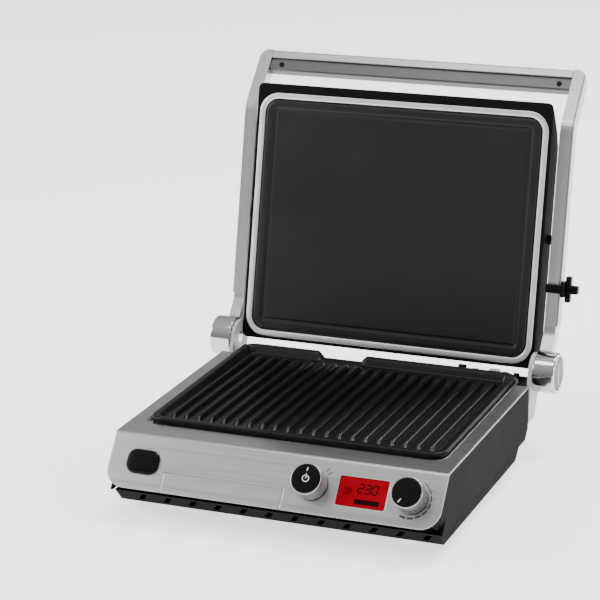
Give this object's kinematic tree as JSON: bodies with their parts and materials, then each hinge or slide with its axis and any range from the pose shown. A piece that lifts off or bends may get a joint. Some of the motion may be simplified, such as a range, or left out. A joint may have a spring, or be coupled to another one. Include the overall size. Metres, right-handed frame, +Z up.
{
  "type": "panini press",
  "caption": "Open contact grill with a ribbed lower plate, flat upper plate, floating lid on a steel handle frame, drip drawer and dial controls.",
  "frame": {"origin": "under the middle of the footprint, on the table plane", "axes": "+X to the right as seen from the front panel, +Y from the front panel towards the hinge, +Z up"},
  "size_m": [0.4026, 0.4738, 0.3874],
  "materials": {
    "brushed_steel": "brushed",
    "chrome": "polished",
    "grey_bracket": "satin grey",
    "black_plastic": "fine matt",
    "nonstick": "black non-stick coating on cast aluminium",
    "reflector": "aluminised satin",
    "element": "heat-darkened sheath",
    "clip_metal": "bright",
    "lens_red": "gloss",
    "circuit_board": "satin",
    "foot_rubber": "matt"
  },
  "bodies": {
    "base": {"base_housing": "black_plastic", "bottom_cover": "black_plastic", "conduit_clip": "grey_bracket", "control_board": "circuit_board", "cord_gland": "black_plastic", "element_clip_1": "clip_metal", "element_clip_2": "clip_metal", "element_clip_3": "clip_metal", "element_clip_4": "clip_metal", "element_lower": "element", "fascia_deck": "brushed_steel", "foot_front_left": "foot_rubber", "foot_front_right": "foot_rubber", "foot_rear_left": "foot_rubber", "foot_rear_right": "foot_rubber", "hinge_bracket_left": "grey_bracket", "hinge_bracket_right": "grey_bracket", "hinge_pin_left": "clip_metal", "hinge_pin_right": "clip_metal", "reflector_pan": "reflector", "release_spring_lower": "clip_metal", "screen_lens": "lens_red", "screen_module": "circuit_board", "start_encoder": "black_plastic", "temp_encoder": "black_plastic", "thermostat_bracket": "clip_metal", "thermostat_lower": "clip_metal", "wire_guard": "black_plastic"},
    "handle_frame": {"arm_left": "brushed_steel", "arm_right": "brushed_steel", "arm_trim_left": "brushed_steel", "arm_trim_right": "brushed_steel", "crossbar": "brushed_steel", "crossbar_inlay": "brushed_steel", "grip_screw_left": "clip_metal", "grip_screw_right": "clip_metal", "hub_left": "chrome", "hub_right": "chrome", "hub_cap_left": "black_plastic"},
    "hinge_release": {"hinge_release_button": "black_plastic"},
    "height_control": {"height_clip": "black_plastic"},
    "lid": {"lid_frame": "black_plastic", "lid_cover": "brushed_steel", "upper_reflector": "reflector", "element_upper": "element", "pivot_pin_left": "black_plastic", "pivot_pin_right": "black_plastic"},
    "upper_release": {"release_button_upper": "black_plastic"},
    "upper_plate": {"griddle_plate": "nonstick"},
    "lower_plate": {"grill_plate": "nonstick"},
    "start_plunger": {"start_shaft": "clip_metal"},
    "start_knob": {"start_skirt": "brushed_steel", "start_cap": "black_plastic"},
    "temp_knob": {"temp_shaft": "clip_metal", "temp_skirt": "brushed_steel", "temp_cap": "black_plastic"},
    "lower_release": {"release_button_lower": "black_plastic", "release_latch_lower": "black_plastic"},
    "drip_drawer": {"drip_tray": "black_plastic", "drip_tray_front": "brushed_steel"}
  },
  "joints": [
    {"name": "frame_hinge", "type": "hinge", "parent": "base", "child": "handle_frame", "pos_m": [-0.0043, 0.1057, 0.086], "axis": [-1, 0, 0], "range_deg": [-102.7, 77.3]},
    {"name": "lid_float", "type": "hinge", "parent": "handle_frame", "child": "lid", "pos_m": [-0.0043, 0.15658, 0.21671], "axis": [1, 0, 0], "range_deg": [0, 6]},
    {"name": "upper_plate_lift", "type": "slide", "parent": "lid", "child": "upper_plate", "axis": [0, -0.9755, 0.2198], "range_m": [0, 0.06]},
    {"name": "lower_plate_lift", "type": "slide", "parent": "base", "child": "lower_plate", "axis": [0, 0, 1], "range_m": [0, 0.08]},
    {"name": "drip_tray_slide", "type": "slide", "parent": "base", "child": "drip_drawer", "axis": [0, -1, 0], "range_m": [0, 0.15]},
    {"name": "start_knob_push", "type": "slide", "parent": "base", "child": "start_plunger", "axis": [0, 0.7848, -0.6198], "range_m": [0, 0.002], "stiffness_N_per_m": 400, "springref_m": -0.002},
    {"name": "start_knob_spin", "type": "hinge", "parent": "start_plunger", "child": "start_knob", "pos_m": [0.0372, -0.2119, 0.05871], "axis": [0, -0.7848, 0.6198], "continuous": true},
    {"name": "temp_knob_turn", "type": "hinge", "parent": "base", "child": "temp_knob", "pos_m": [0.1393, -0.2119, 0.05871], "axis": [0, 0.7848, -0.6198], "range_deg": [0, 290]},
    {"name": "lower_release_push", "type": "slide", "parent": "base", "child": "lower_release", "axis": [0, 0.7848, -0.6198], "range_m": [0, 0.003], "stiffness_N_per_m": 400, "springref_m": -0.002},
    {"name": "upper_release_push", "type": "slide", "parent": "lid", "child": "upper_release", "axis": [0, -0.9755, 0.2198], "range_m": [0, 0.0025], "stiffness_N_per_m": 400, "springref_m": -0.002},
    {"name": "hinge_release_push", "type": "slide", "parent": "handle_frame", "child": "hinge_release", "axis": [-1, 0, 0], "range_m": [0, 0.002], "stiffness_N_per_m": 400, "springref_m": -0.002},
    {"name": "height_clip_slide", "type": "slide", "parent": "handle_frame", "child": "height_control", "axis": [0, 0.2198, 0.9755], "range_m": [-0.022, 0.035]}
  ]
}
